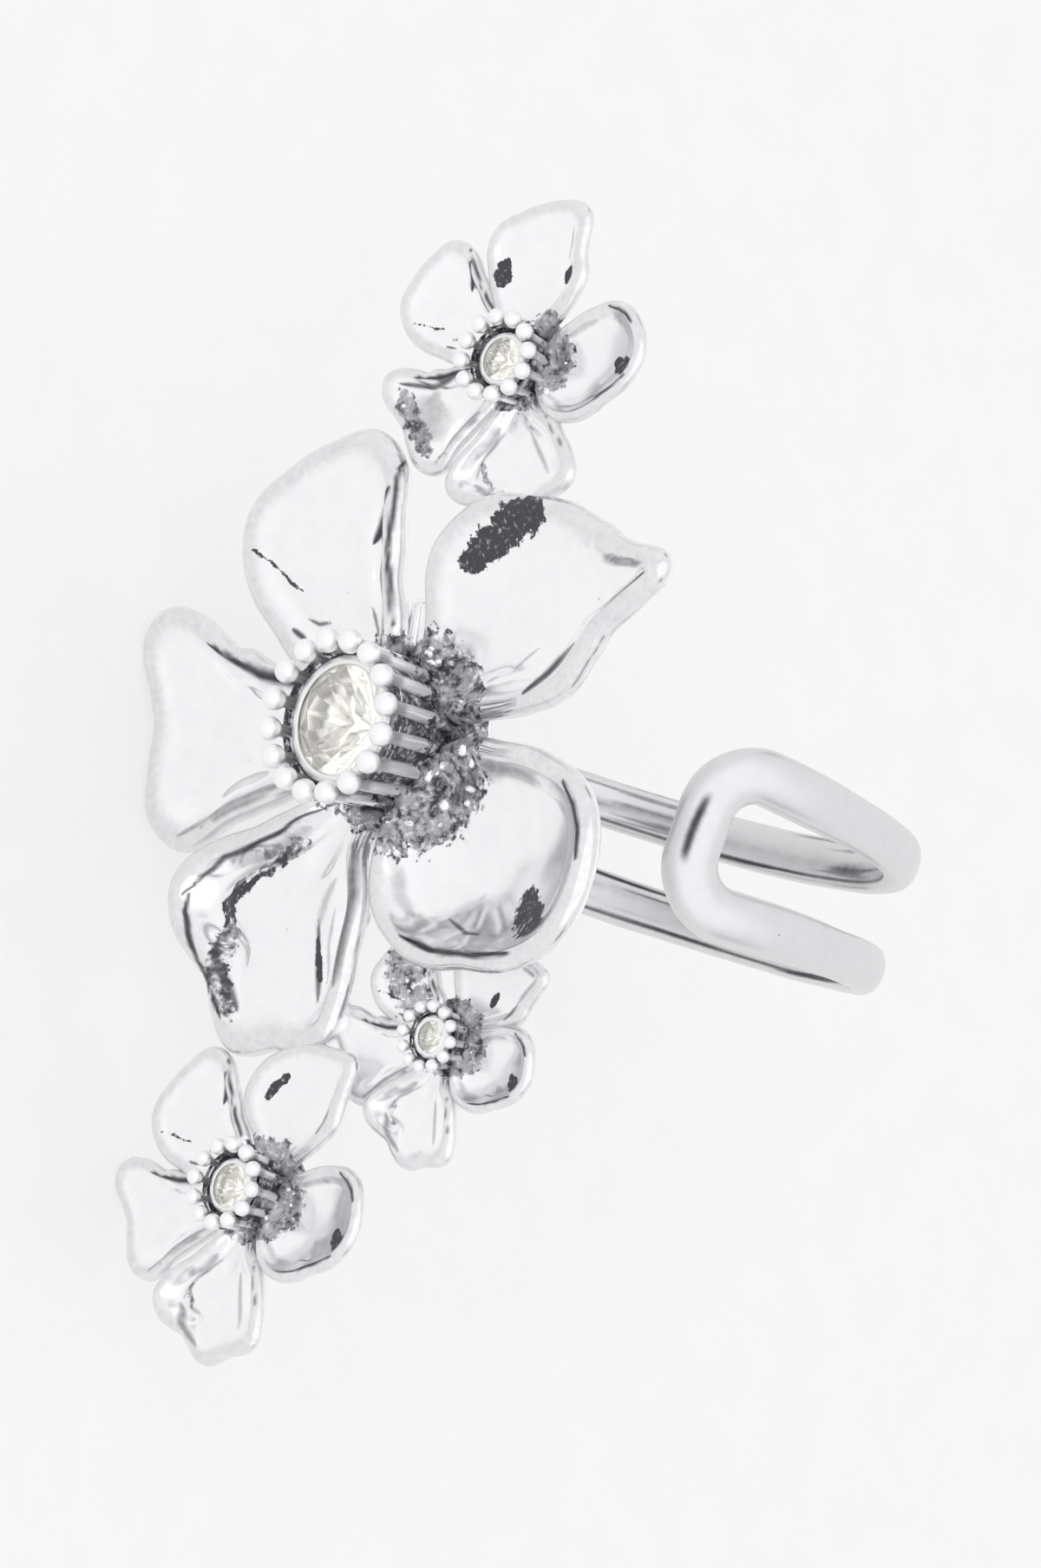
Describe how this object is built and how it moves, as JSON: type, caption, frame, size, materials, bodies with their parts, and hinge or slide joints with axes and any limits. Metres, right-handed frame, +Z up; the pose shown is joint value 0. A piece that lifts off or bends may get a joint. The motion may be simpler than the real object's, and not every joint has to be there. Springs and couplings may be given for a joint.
{
  "type": "open flower finger ring",
  "caption": "Open silver-tone finger ring: a long cluster of five-petal flowers with clear stones in beaded crowns, on a two-wire band that ends in a U loop.",
  "frame": {"origin": "middle of the footprint, on the surface that the ring lies on", "axes": "+Z up as the ring lies on its side, +Y near the finger's direction towards the single flower, -X the way the flowers face"},
  "size_m": [0.0248, 0.037, 0.0228],
  "materials": {
    "silver": "bright polished cast metal, darker in the recesses round the crowns",
    "stone": "clear faceted, slightly warm"
  },
  "bodies": {
    "root": {"ring_body": "silver", "centre_stone": "stone", "top_stone": "stone", "lower_stone": "stone", "side_stone": "stone"}
  },
  "joints": []
}
